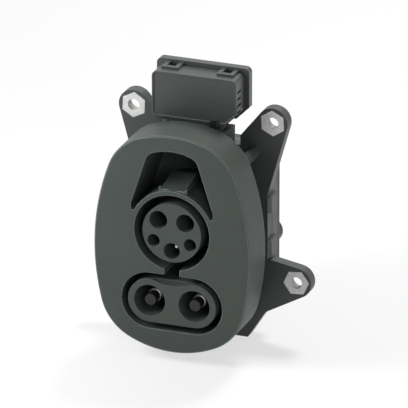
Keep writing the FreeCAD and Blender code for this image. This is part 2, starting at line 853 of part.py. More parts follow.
def make_hexagon(x, z, across_flats, turn):
    """A hexagon with its size across the flats, turned by an angle in degrees."""
    def draw(drawing):
        radius = float(across_flats) / math.sqrt(3.0)
        centre = FreeCAD.Vector(float(x), float(z), 0)
        angles = [math.radians(float(turn) + 60.0 * i) for i in range(6)]
        tips = [centre + FreeCAD.Vector(math.cos(a), math.sin(a), 0) * radius for a in angles]
        sides = [drawing.shape(Part.LineSegment(tips[i], tips[(i + 1) % 6])) for i in range(6)]
        rim = drawing.shape(Part.Circle(centre, NORMAL, radius), True)
        drawing.place(rim, CENTRE, x, z)
        drawing.sized("Radius", rim, across_flats / math.sqrt(3.0))
        for i, side in enumerate(sides):
            drawing.rule("Coincident", side, END, sides[(i + 1) % 6], START)
            drawing.rule("PointOnObject", side, START, rim)
        for side in sides[1:]:
            drawing.rule("Equal", sides[0], side)
        ray = drawing.shape(Part.LineSegment(centre, tips[0]), True)
        drawing.rule("Coincident", ray, START, rim, CENTRE)
        drawing.rule("Coincident", ray, END, sides[0], START)
        drawing.rule("Angle", ray, math.radians(float(turn)))
    return draw


def make_mounting_plate():
    """The flange with four ears, each with a seat pad behind and a hexagon nut pocket in front."""
    body = make_body("mounting_plate")
    add(body, FRONT, S.pad_height, S.plate_thickness, plate_outline())
    pads = [circle(x, z, S.ear_radius - S.pad_inset) for x, z, _ in bolt_places()]
    add(body, FRONT, SEAT, S.plate_thickness, *pads)
    pockets = [make_hexagon(x, z, S.nut_across_flats + 2 * S.nut_fit, turn)
               for x, z, turn in bolt_places()]
    cut(body, FRONT, S.plate_thickness - S.nut_thickness, S.plate_thickness, *pockets)
    holes = [circle(x, z, S.bolt_hole_radius) for x, z, _ in bolt_places()]
    cut(body, FRONT, SEAT, S.plate_thickness - S.nut_thickness, *holes)
    window = S.ac_boss_radius - S.rear_wall
    screws = [circle(x, z, S.screw_radius + S.screw_hole_gap) for x, z in pillar_places()]
    cut(body, FRONT, SEAT, S.plate_thickness, circle(0.0, 0.0, window),
        slot(S.dc_spacing / 2, -S.dc_drop, S.dc_hole_radius), *screws)
    sink_radius = S.screw_flats / math.sqrt(3.0) + S.screw_hole_gap
    sinks = [circle(x, z, sink_radius) for x, z in pillar_places()]
    cut(body, FRONT, SEAT, S.screw_sink, *sinks)
    pilots = [circle(x, z, S.screw_radius) for x, z in rear_screw_places()]
    cut(body, FRONT, SEAT, S.plate_thickness - S.gasket_thickness, *pilots)
    return body


def make_nuts():
    """Four captive nuts, flush with the front of the plate."""
    nuts = []
    for index, (x, z, turn) in enumerate(bolt_places()):
        nut = make_body(f"nut_source_{index}")
        low = S.plate_thickness - S.nut_thickness
        add(nut, FRONT, low, S.plate_thickness, make_hexagon(x, z, S.nut_across_flats, turn))
        cut(nut, FRONT, low, S.plate_thickness, circle(x, z, S.nut_bore_radius))
        nuts.append((nut, 0.0, 0.0, 0.0))
    return group("mounting_nuts", *nuts)


def make_screw(label, head_level, reach, radius, across_flats, head_height):
    """A hexagon-head screw along Y whose head rests at one level; its shank reaches forward."""
    screw = make_body(label)
    add(screw, FRONT, head_level, head_level + reach, circle(0.0, 0.0, radius))
    add(screw, FRONT, head_level - head_height, head_level, make_hexagon(0.0, 0.0, across_flats, 0.0))
    return screw


def rear_screw_places():
    return [(side * S.rear_screw_half, height) for side in (1, -1)
            for height in (S.rear_screw_high, -S.rear_screw_low)]


def cover_screw_places():
    return [(side * S.cover_screw_half, height) for side in (1, -1)
            for height in (S.cover_screw_high, -S.cover_screw_low)]


def rim_outline(inset=0.0):
    return box(-S.rear_half + inset, -S.rear_bottom + inset, S.rear_half - inset, S.rear_top - inset,
               S.rear_corner - inset)


def chamber_outline(inset=0.0):
    return box(-S.chamber_half + inset, -S.chamber_bottom + inset, S.chamber_half - inset,
               S.chamber_top - inset, S.chamber_corner - inset)


def make_rear_housing():
    """The drafted box behind the plate, open at both ends, with snap hooks round the plate's sides."""
    body = make_body("rear_housing")
    rim_front = S.pad_height - S.gasket_thickness
    rim_back = -S.rear_rim_depth
    end = -S.chamber_end
    add(body, FRONT, rim_back, rim_front, rim_outline())
    add(body, FRONT, end, rim_back, chamber_outline(), taper=S.chamber_draft)
    cut(body, FRONT, rim_back + S.rear_wall, rim_front, rim_outline(S.rear_wall))
    hollow = cut(body, FRONT, end, end, chamber_outline(S.rear_wall), taper=S.chamber_draft)
    bind(hollow, "Length", S.chamber_end - S.rear_rim_depth + S.rear_wall)
    hollow.Reversed = True
    bosses = [circle(x, z, S.screw_radius + S.boss_wall) for x, z in cover_screw_places()]
    add(body, FRONT, end, end + S.cover_boss_length, *bosses)
    pilots = [circle(x, z, S.screw_radius) for x, z in cover_screw_places()]
    cut(body, FRONT, end, end + S.screw_reach + S.boss_wall, *pilots)
    seats = [circle(x, z, S.screw_radius + S.boss_wall) for x, z in rear_screw_places()]
    add(body, FRONT, rim_back, rim_front, *seats)
    holes = [circle(x, z, S.screw_radius + S.screw_hole_gap) for x, z in rear_screw_places()]
    cut(body, FRONT, rim_back, rim_front, *holes)
    for side in (-1, 1):
        add_snap_hook(body, side, -S.upper_rib_low, S.upper_rib_high)
        add_snap_hook(body, side, -S.lower_rib_low, -S.lower_rib_high)
    return body


def add_snap_hook(body, side, low, high):
    """A hook on the rim's side that lies along the plate's edge, bevelled at both ends."""
    root = side * (S.rear_half - S.rear_wall / 2)
    inner = side * S.rear_half
    outer = side * (S.rear_half + S.snap_rib_thickness)
    front, back, bevel = S.snap_rib_front_level, S.snap_rib_end, S.snap_rib_thickness
    add(body, TOP, low, high, outline(
        corner(root, S.gasket_thickness - S.pad_height),
        corner(inner, S.gasket_thickness - S.pad_height), corner(inner, -front),
        corner(outer, bevel - front), corner(outer, back - bevel), corner(inner, back),
        corner(root, back)))


def wire_places():
    """The five wires that leave through the cover: three for power and earth, two for signals."""
    power = [(step * S.power_wire_spacing, S.power_wire_height) for step in (-1, 0, 1)]
    signal = [(side * S.signal_wire_spacing / 2, -S.signal_wire_drop) for side in (-1, 1)]
    return power + signal


def cover_front():
    return -S.chamber_end - S.gasket_thickness


def seal_outline(inset=0.0):
    return box(-S.seal_half + inset, -S.seal_bottom + inset, S.seal_half - inset, S.seal_top - inset,
               S.seal_corner - inset)


def make_rear_cover():
    """The cover with two holes for the high-current sleeves and a collar for the wire seal."""
    body = make_body("rear_cover")
    front = cover_front()
    back = front - S.cover_thickness
    add(body, FRONT, back, front, chamber_outline())
    add(body, FRONT, back - S.seal_length, back, seal_outline(-S.collar_wall))
    cut(body, FRONT, back - S.seal_length, back, seal_outline())
    cut(body, FRONT, back, front, seal_outline(S.seal_ledge))
    sleeves = [circle(side * S.dc_spacing / 2, -S.dc_drop, S.dc_sleeve_radius + S.contact_fit)
               for side in (-1, 1)]
    holes = [circle(x, z, S.screw_radius + S.screw_hole_gap) for x, z in cover_screw_places()]
    cut(body, FRONT, back, front, *sleeves, *holes)
    return body


def make_gasket(label, low, outer, inner):
    """A flat ring seal that follows a housing's edge."""
    body = make_body(label)
    high = low + S.gasket_thickness
    add(body, FRONT, low, high, outer)
    cut(body, FRONT, low, high, inner)
    return body


def make_wire_seals():
    """One rubber block in the cover's collar, with a tight bore for each wire."""
    body = make_body("wire_seals")
    front = cover_front() - S.cover_thickness
    back = front - S.seal_length
    add(body, FRONT, back, front, seal_outline(S.contact_fit))
    cut(body, FRONT, back, front, *[circle(x, z, S.wire_bore_radius) for x, z in wire_places()])
    return body


def make_sleeves():
    """Insulating tubes round the crimp barrels, with a flange inside the cover."""
    sleeve = make_body("sleeve_source")
    end = -S.dc_sleeve_end
    flange = cover_front()
    add(sleeve, FRONT, end, end + S.sleeve_length, circle(0.0, -S.dc_drop, S.dc_sleeve_radius))
    add(sleeve, FRONT, flange, flange + S.sleeve_flange_length,
        circle(0.0, -S.dc_drop, S.dc_sleeve_radius + S.sleeve_flange))
    cut(sleeve, FRONT, end, end + S.sleeve_length,
        circle(0.0, -S.dc_drop, S.dc_barrel_radius + S.contact_fit))
    half = S.dc_spacing / 2
    return group("dc_sleeves", (sleeve, half, 0.0, 0.0), (sleeve, -half, 0.0, 0.0))


def make_sensors():
    """A temperature sensor banded onto each high-current contact."""
    sensor = make_body("sensor_source")
    low = -S.sensor_back
    middle = -S.dc_drop
    bore = S.dc_barrel_radius + S.contact_fit
    add(sensor, FRONT, low, low + S.sensor_length, circle(0.0, middle, bore + S.sensor_band))
    add(sensor, FRONT, low, low + S.sensor_length,
        box(-S.sensor_width / 2, middle, S.sensor_width / 2, middle + bore + S.sensor_height))
    cut(sensor, FRONT, low, low + S.sensor_length, circle(0.0, middle, bore))
    half = S.dc_spacing / 2
    return group("temperature_sensors", (sensor, half, 0.0, 0.0), (sensor, -half, 0.0, 0.0))


def make_rear_parts():
    make_rear_housing()
    make_rear_cover()
    make_gasket("rear_gasket", S.pad_height - S.gasket_thickness, rim_outline(),
                rim_outline(S.gasket_width))
    make_gasket("cover_gasket", cover_front(), chamber_outline(), chamber_outline(S.gasket_width))
    make_wire_seals()
    make_sleeves()
    make_sensors()
    housing = make_screw("housing_screw_source", S.screw_sink, S.plate_thickness - S.screw_sink
                         + S.screw_reach, S.screw_radius, S.screw_flats, S.screw_head_height)
    group("housing_screws", *[(housing, x, 0.0, z) for x, z in pillar_places()])
    rear = make_screw("rear_screw_source", -S.rear_rim_depth, S.rear_rim_depth + S.plate_thickness
                      - S.boss_wall, S.screw_radius, S.screw_flats, S.screw_head_height)
    group("rear_screws", *[(rear, x, 0.0, z) for x, z in rear_screw_places()])
    cover = make_screw("cover_screw_source", cover_front() - S.cover_thickness,
                       S.cover_thickness + S.gasket_thickness + S.screw_reach,
                       S.screw_radius, S.screw_flats, S.screw_head_height)
    group("cover_screws", *[(cover, x, 0.0, z) for x, z in cover_screw_places()])


def cut_box(half, low, high, bevel, radius):
    """A box outline with three round corners and its lower right corner cut off."""
    return outline(corner(-half, low, radius), corner(half - bevel, low), corner(half, low + bevel),
                   corner(half, high, radius), corner(-half, high, radius))


def actuator_outline(inset=0.0):
    return cut_box(S.actuator_width / 2 - inset, S.actuator_bottom + inset, S.actuator_top - inset,
                   S.actuator_cut - inset * (2 - math.sqrt(2.0)), S.actuator_corner - inset)


def post_places():
    """The three screw posts: both upper corners and the lower left one."""
    side = S.actuator_width / 2 - S.lid_post_inset
    high, low = S.actuator_top - S.lid_post_inset, S.actuator_bottom + S.lid_post_inset
    return [(side, high), (-side, high), (-side, low)]


def gear_axis_x():
    """The gear axle stands one pitch radius to the right of the rack's pitch line."""
    pitch_line = S.bolt_width / 2 - S.bolt_offset - S.module
    return pitch_line + S.module * S.pinion_teeth / 2


def motor_axis_x():
    return gear_axis_x() + S.module * (S.pinion_teeth + S.wheel_teeth) / 2


def inner_front():
    return S.actuator_front_level - S.actuator_wall


def board_back():
    return inner_front() - S.board_thickness


def pinion_front():
    return S.bolt_front_level - S.gear_gap


def make_actuator_housing():
    """The front tray of the plug lock's box: posts, axle post, connector slots and lid lugs."""
    body = make_body("actuator_housing")
    back = S.parting_level
    half = S.actuator_width / 2
    floor = S.actuator_bottom
    add(body, FRONT, back, S.actuator_front_level, actuator_outline())
    cut(body, FRONT, back, inner_front(), actuator_outline(S.actuator_wall))
    cut(body, FRONT, S.actuator_front_level - S.panel_depth, S.actuator_front_level,
        actuator_outline(S.panel_rim))
    posts = [circle(x, z, S.lid_post_radius) for x, z in post_places()]
    add(body, FRONT, back, inner_front(), *posts)
    add(body, FRONT, pinion_front() + S.gear_gap, inner_front(),
        circle(gear_axis_x(), S.gear_height, S.gear_post_radius))
    pilots = [circle(x, z, S.lid_screw_radius) for x, z in post_places()]
    cut(body, FRONT, back, inner_front(), *pilots)
    cut(body, FRONT, pinion_front() + S.gear_gap, inner_front(),
        circle(gear_axis_x(), S.gear_height, S.gear_pin_radius + S.contact_fit))
    gap = S.bolt_clearance
    stem = -S.bolt_offset
    cut(body, TOP, floor, floor + S.actuator_wall,
        box(stem - S.bolt_width / 2 - gap, -S.bolt_front_level - gap,
            stem + S.bolt_width / 2 + gap, -S.bolt_back_level + gap))
    add(body, FRONT, back, S.foot_front_level,
        box(-half, floor - S.foot_height, S.foot_width - half, floor + S.actuator_wall))
    for index in range(TERMINALS):
        middle = S.terminal_top - index * S.terminal_pitch
        cut(body, SIDE, half - S.actuator_wall, half,
            box(-S.terminal_slot_front, middle - S.terminal_slot_height / 2,
                -S.terminal_slot_back, middle + S.terminal_slot_height / 2))
    for side in (-1, 1):
        add_lid_lug(body, side * S.clip_spacing / 2)
    return body


def window_front():
    return S.parting_level + S.clip_window_length


def add_lid_lug(body, middle):
    """The wedge that a lid clip's front bar snaps over, and the shallow pit behind it."""
    top = S.actuator_top
    left, right = middle - S.clip_window_width / 2, middle + S.clip_window_width / 2
    front = S.clip_gap - window_front()
    back = front + S.clip_lug_length
    cut(body, TOP, top - S.clip_pit_depth, top, box(left, back, right, -S.parting_level))
    add(body, SIDE, left + S.clip_gap, right - S.clip_gap, outline(
        corner(front, top - S.clip_pit_depth), corner(back, top - S.clip_pit_depth), corner(back, top),
        corner(front + S.clip_lug_land, top + S.clip_lug_height), corner(front, top + S.clip_lug_height)))


def make_actuator_lid():
    """The larger rear lid with a cut corner, screw bosses and two snap frames on top."""
    body = make_body("actuator_lid")
    back, front = S.lid_back_level, S.parting_level - S.parting_gap
    add(body, FRONT, back, front, cut_box(
        S.actuator_width / 2 + S.lid_overhang, S.actuator_bottom - S.lid_overhang / 2,
        S.actuator_top + S.lid_overhang, S.lid_cut, S.actuator_corner))
    cut(body, FRONT, back + S.lid_wall, front, actuator_outline(S.actuator_wall))
    bosses = [circle(x, z, S.lid_post_radius) for x, z in post_places()]
    add(body, FRONT, back, front, *bosses)
    add(body, FRONT, back, S.wheel_back_level - S.gear_gap,
        circle(gear_axis_x(), S.gear_height, S.gear_post_radius))
    cut(body, FRONT, back + S.lid_wall / 2, S.wheel_back_level - S.gear_gap,
        circle(gear_axis_x(), S.gear_height, S.gear_pin_radius + S.contact_fit))
    holes = [circle(x, z, S.lid_screw_radius + S.screw_hole_gap) for x, z in post_places()]
    cut(body, FRONT, back, front, *holes)
    for side in (-1, 1):
        add_snap_frame(body, side * S.clip_spacing / 2)
    return body


def add_snap_frame(body, middle):
    top = S.actuator_top
    half = S.clip_width / 2
    add(body, TOP, top, top + S.clip_thickness,
        box(middle - half, -S.clip_front_level, middle + half, -S.lid_back_level - S.lid_wall))
    cut(body, TOP, top, top + S.clip_thickness,
        box(middle - S.clip_window_width / 2, -window_front(),
            middle + S.clip_window_width / 2, -S.parting_level + S.parting_gap))


def make_lid_seal():
    body = make_body("lid_seal")
    low, high = S.parting_level - S.parting_gap, S.parting_level
    add(body, FRONT, low, high, actuator_outline(S.actuator_wall / 2))
    cut(body, FRONT, low, high, actuator_outline(S.actuator_wall))
    return body


def make_bolt():
    """The lock bolt: toothed stem, cross arm and the finger that drops behind the plug's latch."""
    body = make_body("lock_bolt")
    left = -S.bolt_offset - S.bolt_width / 2
    right = -S.bolt_offset + S.bolt_width / 2
    root = right - S.module * (ADDENDUM + DEDENDUM)
    low = S.finger_top - S.finger_height
    back, front = S.bolt_back_level, S.bolt_front_level
    add(body, FRONT, back, front, outline(
        corner(left, low), corner(S.finger_half, low), corner(S.finger_half, S.finger_top),
        corner(right, S.finger_top), corner(right, S.rack_foot), corner(root, S.rack_foot),
        corner(root, S.bolt_top), corner(left, S.bolt_top)))
    nose = S.finger_nose
    add(body, SIDE, -S.finger_half, S.finger_half, outline(
        corner(-S.finger_front_level, low + nose), corner(-S.finger_front_level + nose, low),
        corner(-back, low), corner(-back, S.finger_top), corner(-S.finger_front_level, S.finger_top)))
    add_rack(body, right, back, front)
    return body


def add_rack(body, tip, back, front):
    """Straight rack teeth, one of them level with the gear axle."""
    slope = math.tan(PRESSURE_ANGLE)
    pitch = S.module * math.pi
    middle = S.gear_height - pitch
    half = pitch / 4 - S.backlash / 2
    at_tip = half - S.module * ADDENDUM * slope
    at_root = half + S.module * DEDENDUM * slope
    root = tip - S.module * (ADDENDUM + DEDENDUM)
    tooth = add(body, FRONT, back, front, outline(
        corner(root, middle - at_root), corner(tip, middle - at_tip),
        corner(tip, middle + at_tip), corner(root, middle + at_root)))
    doc.recompute()
    pattern = body.newObject("PartDesign::LinearPattern", "RackTeeth")
    pattern.Originals = [tooth]
    pattern.Direction = (tooth.Profile[0], ["V_Axis"])
    pattern.Occurrences = RACK_TEETH
    bind(pattern, "Length", pitch * (RACK_TEETH - 1))
    body.Tip = pattern


def involute(angle):
    return math.tan(angle) - angle


def gear_prism(teeth, x, low, high):
    """Involute teeth about an axis along Y; a tooth gap faces the left and the right side."""
    module = float(S.module)
    pitch_radius = module * teeth / 2
    base_radius = pitch_radius * math.cos(PRESSURE_ANGLE)
    root_radius = pitch_radius - DEDENDUM * module
    tip_radius = pitch_radius + ADDENDUM * module
    half_tooth = (math.pi * module - 2 * float(S.backlash)) / 4 / pitch_radius

    def flank(radius):
        pressure = math.acos(min(1.0, base_radius / radius))
        return radius, half_tooth + involute(PRESSURE_ANGLE) - involute(pressure)

    rising = [(root_radius, flank(base_radius)[1])]
    rising += [flank(radius) for radius in (max(base_radius, root_radius), pitch_radius, tip_radius)]
    tooth = [(radius, -angle) for radius, angle in rising]
    tooth += [(radius, angle) for radius, angle in reversed(rising)]
    points = []
    for index in range(teeth):
        middle = 2 * math.pi * (index + 0.5) / teeth
        points += [FreeCAD.Vector(float(x) + radius * math.cos(middle + angle), -float(low),
                                  float(S.gear_height) + radius * math.sin(middle + angle))
                   for radius, angle in tooth]
    face = Part.Face(Part.makePolygon(points + points[:1]))
    return face.extrude(FreeCAD.Vector(0, float(low) - float(high), 0))


def axle_cylinder(x, low, high, radius):
    start = FreeCAD.Vector(float(x), -float(low), float(S.gear_height))
    return Part.makeCylinder(float(radius), float(high) - float(low), start, FreeCAD.Vector(0, -1, 0))


def make_feature(label, shape):
    feature = doc.addObject("Part::Feature", label)
    feature.Label = label
    feature.Shape = shape
    feature.Placement = FreeCAD.Placement()
    return feature


def make_gear_wheel():
    """The reduction wheel with its pinion, turned half a tooth so that a tooth faces the motor."""
    x = gear_axis_x()
    back, step, front = S.wheel_back_level, S.wheel_front_level, pinion_front()
    wheel = gear_prism(int(float(S.wheel_teeth)), x, back, step)
    centre = FreeCAD.Vector(float(x), 0, float(S.gear_height))
    wheel.rotate(centre, FreeCAD.Vector(0, 1, 0), 180.0 / float(S.wheel_teeth))
    pinion = gear_prism(int(float(S.pinion_teeth)), x, step, front)
    bore = axle_cylinder(x, back, front, S.gear_pin_radius + S.gear_running_fit)
    return make_feature("gear_wheel", wheel.fuse(pinion).cut(bore).removeSplitter())


def make_motor_pinion():
    x = motor_axis_x()
    gear = gear_prism(int(float(S.pinion_teeth)), x, S.wheel_back_level, S.wheel_front_level)
    shaft = axle_cylinder(x, S.wheel_back_level, S.bolt_front_level, S.motor_shaft_radius)
    return make_feature("motor_pinion", gear.fuse(shaft).removeSplitter())


def make_motor():
    """A flat can motor that stands on the board with its shaft towards the lid."""
    body = make_body("lock_motor")
    nose = S.motor_back_level - S.motor_nose_length
    turned(body, motor_axis_x(), S.gear_height, (board_back(), S.motor_radius),
           (S.motor_back_level, S.motor_radius), (S.motor_back_level, S.motor_nose_radius),
           (nose, S.motor_nose_radius))
    cut(body, FRONT, nose, S.bolt_front_level + S.gear_gap,
        circle(motor_axis_x(), S.gear_height, S.motor_shaft_radius + S.gear_running_fit))
    return body


def make_gear_pin():
    body = make_body("gear_pin")
    low = S.lid_back_level + S.lid_wall / 2
    add(body, FRONT, low, board_back(), circle(gear_axis_x(), S.gear_height, S.gear_pin_radius))
    return body


def make_board():
    """The circuit board against the front wall, with holes for the posts."""
    body = make_body("circuit_board")
    back = board_back()
    add(body, FRONT, back, inner_front(), actuator_outline(S.actuator_wall + S.board_margin))
    holes = [circle(x, z, S.lid_post_radius + S.board_hole_gap) for x, z in post_places()]
    holes.append(circle(gear_axis_x(), S.gear_height, S.gear_post_radius + S.board_hole_gap))
    cut(body, FRONT, back, inner_front(), *holes)
    return body


def make_switch():
    """The switch that feels the bolt's position, with its plunger towards the stem."""
    body = make_body("position_switch")
    stem_side = -S.bolt_offset - S.bolt_width / 2
    right = stem_side - S.switch_reach
    low = S.gear_height - S.switch_drop - S.switch_height / 2
    add(body, FRONT, S.switch_level, board_back(),
        box(right - S.switch_width, low, right, low + S.switch_height))
    sketch_level = right - S.switch_width / 2
    add(body, SIDE, sketch_level, stem_side - S.bolt_clearance,
        circle(-S.plunger_level, low + S.switch_height / 2, S.plunger_radius))
    return body


def make_terminals():
    """Four connector blades on the board that end in the slots of the right wall."""
    blade = make_body("terminal_source")
    outer = S.actuator_width / 2 - S.terminal_recess
    half = S.terminal_thickness / 2
    add(blade, TOP, S.terminal_top - half, S.terminal_top + half,
        box(outer - S.terminal_inset, -board_back(), outer, -S.terminal_slot_back - S.terminal_recess))
    drops = [(blade, 0.0, 0.0, -index * S.terminal_pitch) for index in range(TERMINALS)]
    return group("connector_terminals", *drops)


def make_bolt_seal():
    body = make_body("bolt_seal")
    outer = S.bolt_clearance + S.seal_wall - S.contact_fit
    for margin, build in ((outer, add), (S.seal_gap, cut)):
        build(body, TOP, S.actuator_bottom - S.seal_height, S.actuator_bottom,
              box(-S.bolt_offset - S.bolt_width / 2 - margin, -S.bolt_front_level - margin,
                  -S.bolt_offset + S.bolt_width / 2 + margin, -S.bolt_back_level + margin))
    return body


def make_spring_clip():
    """A sheet spring hooked over the box's front edge and under it against the pedestal."""
    body = make_body("spring_clip")
    front = S.actuator_front_level
    thick = S.spring_clip_thickness
    low = S.actuator_bottom - S.spring_clip_drop
    add(body, SIDE, S.spring_clip_place - S.spring_clip_width / 2,
        S.spring_clip_place + S.spring_clip_width / 2, outline(
            corner(-front - thick, low), corner(-S.pedestal_front_level, low),
            corner(-S.pedestal_front_level, low + thick), corner(-front, low + thick),
            corner(-front, S.actuator_bottom + S.spring_clip_rise),
            corner(-front - thick, S.actuator_bottom + S.spring_clip_rise)))
    return body


def make_lid_screws():
    screw = make_screw("lid_screw_source", S.lid_back_level, S.parting_level + S.bolt_width
                       - S.lid_back_level, S.lid_screw_radius, S.lid_screw_flats,
                       S.lid_screw_head_height)
    return group("lid_screws", *[(screw, x, 0.0, z) for x, z in post_places()])


def make_actuator():
    make_actuator_housing()
    make_actuator_lid()
    make_lid_seal()
    make_lid_screws()
    make_bolt()
    make_bolt_seal()
    make_gear_wheel()
    make_gear_pin()
    make_motor_pinion()
    make_motor()
    make_board()
    make_switch()
    make_terminals()
    make_spring_clip()


def make_inlet():
    make_front_housing()
    make_ac_insert()
    make_dc_insert()
    for label, x, z, _, pin_radius, setback in contact_places():
        make_ac_contact(label, x, z, pin_radius, setback)
    make_dc_contact("dc_positive_contact", S.dc_spacing / 2)
    make_dc_contact("dc_negative_contact", -S.dc_spacing / 2)
    make_dc_tips()
    make_mounting_plate()
    make_nuts()


def sub_parts():
    """Every body or group that is a node; bodies that only feed a group are left out."""
    kinds = ("PartDesign::Body", "Part::Compound", "Part::Feature")
    return [item for item in doc.Objects if item.TypeId in kinds and "_source" not in item.Label]


def check_document():
    for item in doc.Objects:
        if "Invalid" in item.State or "Error" in item.State:
            raise RuntimeError(f"{item.Name} is {item.State}")
    for part in sub_parts():
        if part.Shape.isNull() or not part.Shape.isValid():
            raise RuntimeError(f"{part.Label} has no valid shape")


make_inlet()
make_rear_parts()
make_actuator()
doc.recompute()
check_document()
os.makedirs("parts", exist_ok=True)
for part in sub_parts():
    part.Shape.exportStep(f"parts/{part.Label}.step")
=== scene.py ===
"""Looks of the vehicle charging inlet: materials, fine details, floor, light and camera."""
import json
import math

import bmesh
import bpy
from mathutils import Matrix, Vector


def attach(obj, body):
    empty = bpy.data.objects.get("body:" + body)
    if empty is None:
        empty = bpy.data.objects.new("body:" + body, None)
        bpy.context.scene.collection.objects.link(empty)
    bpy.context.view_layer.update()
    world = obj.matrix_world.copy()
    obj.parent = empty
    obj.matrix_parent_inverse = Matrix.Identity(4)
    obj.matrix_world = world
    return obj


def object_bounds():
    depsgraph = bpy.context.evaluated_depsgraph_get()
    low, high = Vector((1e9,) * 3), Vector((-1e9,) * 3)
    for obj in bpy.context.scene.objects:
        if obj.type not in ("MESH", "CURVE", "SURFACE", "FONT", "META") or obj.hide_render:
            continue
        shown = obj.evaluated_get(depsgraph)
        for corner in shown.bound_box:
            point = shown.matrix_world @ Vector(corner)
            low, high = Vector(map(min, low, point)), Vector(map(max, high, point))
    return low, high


MM = 0.001
BODY = "inlet"

# Camera: a long lens, seen from the right and from above
VIEW_AZIMUTH = math.radians(20.6)
VIEW_ELEVATION = math.radians(21.8)
CAMERA_DISTANCE = 5.0
SENSOR_WIDTH = 36.0
FRAME_WIDTH = 0.2248
AIM = Vector((5.4, -20.0, 4.6)) * MM
CLIP_END = 30.0

# World: strength for the object's light, and for what the camera and reflections see
WORLD_LIGHT = 0.3
WORLD_SEEN = 1.0

# Lamps: name, place and diameter in metres, and power in watts
LAMP_AIM = (0.0, 0.0, 0.02)
LAMPS = [
    ("key", (-0.25, -0.2, 0.19), 0.2, 1.2),
    ("fill", (0.6, -0.95, 0.4), 0.35, 2.2),
    ("back", (0.15, 0.65, 1.1), 0.4, 12.0),
]

# Floor in metres, and the share of plain white in what the camera sees of it
FLOOR_GAP = 0.2 * MM
FLOOR_SIZE = 14.0
FLOOR_BACK = 2.0
FLOOR_COLOUR = (0.9, 0.9, 0.9)
FLOOR_WHITENING = 0.65

# Noise scales per metre
FLOW_CLOUDS = 35.0
PLASTIC_SHEEN = 160.0
PLASTIC_GRAIN = 2600.0
PLATING_BLOTCHES = 420.0
PLATING_SHEEN = 900.0
DRAWING_MARKS = 1800.0
TARNISH = 260.0
TURNING_RINGS = 2400.0
RUBBER_SHEEN = 500.0
RUBBER_GRAIN = 3200.0
MASK_CLOUDS = 90.0
GLASS_WEAVE = 1500.0
PAPER_CLOUDS = 3.0

# Edges: usual rounding in millimetres, and the cosines between the rounded and the flat normal
# at which an edge gets the full painted highlight and at which it gets none
EDGE_ROUNDING = 0.25
FULL_HIGHLIGHT_COSINE = 0.93
NO_HIGHLIGHT_COSINE = 0.995

# Places and sizes on the object in millimetres: right, back and up from the frame's origin
NUT_PLACES = [(40.8, 52.4), (-40.8, 52.4), (55.0, -40.2), (-55.0, -40.2)]
NUT_FRONT, NUT_BACK = -7.3, -2.3
NUT_BORE = 3.4
THREAD_PITCH = 1.25
THREAD_HEIGHT = 0.34
THREAD_HALF_WIDTH = 0.42 * THREAD_PITCH
THREAD_ROOT = NUT_BORE + 0.05
THREAD_STEPS = 48
THREAD_RUNOUT_STEPS = 8

# Screws: places, level of the heads' tops and radius of the crowns on them
SCREW_CROWNS = {
    "rear_screw_crowns": ([(31.5, 27.4), (31.5, -57.4), (-31.5, 27.4), (-31.5, -57.4)], 10.2, 2.5),
    "cover_screw_crowns": ([(19.0, 14.5), (19.0, -52.5), (-19.0, 14.5), (-19.0, -52.5)], 51.2, 2.5),
    "lid_screw_crowns": ([(21.3, 76.6), (-21.3, 76.6), (-21.3, 56.8)], -0.9, 1.7),
}
CROWN_THICKNESS = 0.2
CROWN_BEVEL = 0.12
CROWN_LIFT = 0.15
CROWN_SIDES = 32
CROWN_TURN = math.radians(37.0)
CROSS_REACH = 0.62
CROSS_WIDTH = 0.26

WIRE_BORES = [(-14.0, 6.0), (0.0, 6.0), (14.0, 6.0), (-10.0, -12.0), (10.0, -12.0)]
SEAL_FACE = 58.0
LIP_RADIUS = 2.5
LIP_THICKNESS_RADIUS = 0.5
LIP_STEPS = 40
LIP_SIDES = 12

INSERT_FACE = -56.0
MARKS = [("L1", -2.4, 13.2), ("N", 2.6, 13.2), ("PE", 0.0, -4.3), ("CP", -14.2, -0.6),
         ("PP", 14.2, -0.6)]
MARK_SIZE = 2.1
MARK_RISE = 0.04
SHARP_ANGLE = math.radians(35.0)

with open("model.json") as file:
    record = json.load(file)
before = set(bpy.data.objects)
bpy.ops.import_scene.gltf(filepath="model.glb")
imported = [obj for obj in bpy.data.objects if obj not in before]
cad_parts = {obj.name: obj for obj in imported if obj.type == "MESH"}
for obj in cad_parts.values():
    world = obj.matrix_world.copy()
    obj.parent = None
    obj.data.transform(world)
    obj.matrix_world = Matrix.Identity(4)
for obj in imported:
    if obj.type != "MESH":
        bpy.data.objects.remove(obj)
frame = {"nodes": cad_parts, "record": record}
cad_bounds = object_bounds()
nodes = frame["nodes"]


def seen_strength(tree, light, seen):
    """A strength for the object's light, and another for camera, reflection and refraction rays."""
    path = tree.nodes.new("ShaderNodeLightPath")
    total = path.outputs["Is Camera Ray"]
    for name in ("Is Glossy Ray", "Is Transmission Ray"):
        either = tree.nodes.new("ShaderNodeMath")
        either.operation = "MAXIMUM"
        tree.links.new(total, either.inputs[0])
        tree.links.new(path.outputs[name], either.inputs[1])
        total = either.outputs[0]
    blend = tree.nodes.new("ShaderNodeMapRange")
    blend.inputs["To Min"].default_value = light
    blend.inputs["To Max"].default_value = seen
    tree.links.new(total, blend.inputs["Value"])
    return blend.outputs["Result"]


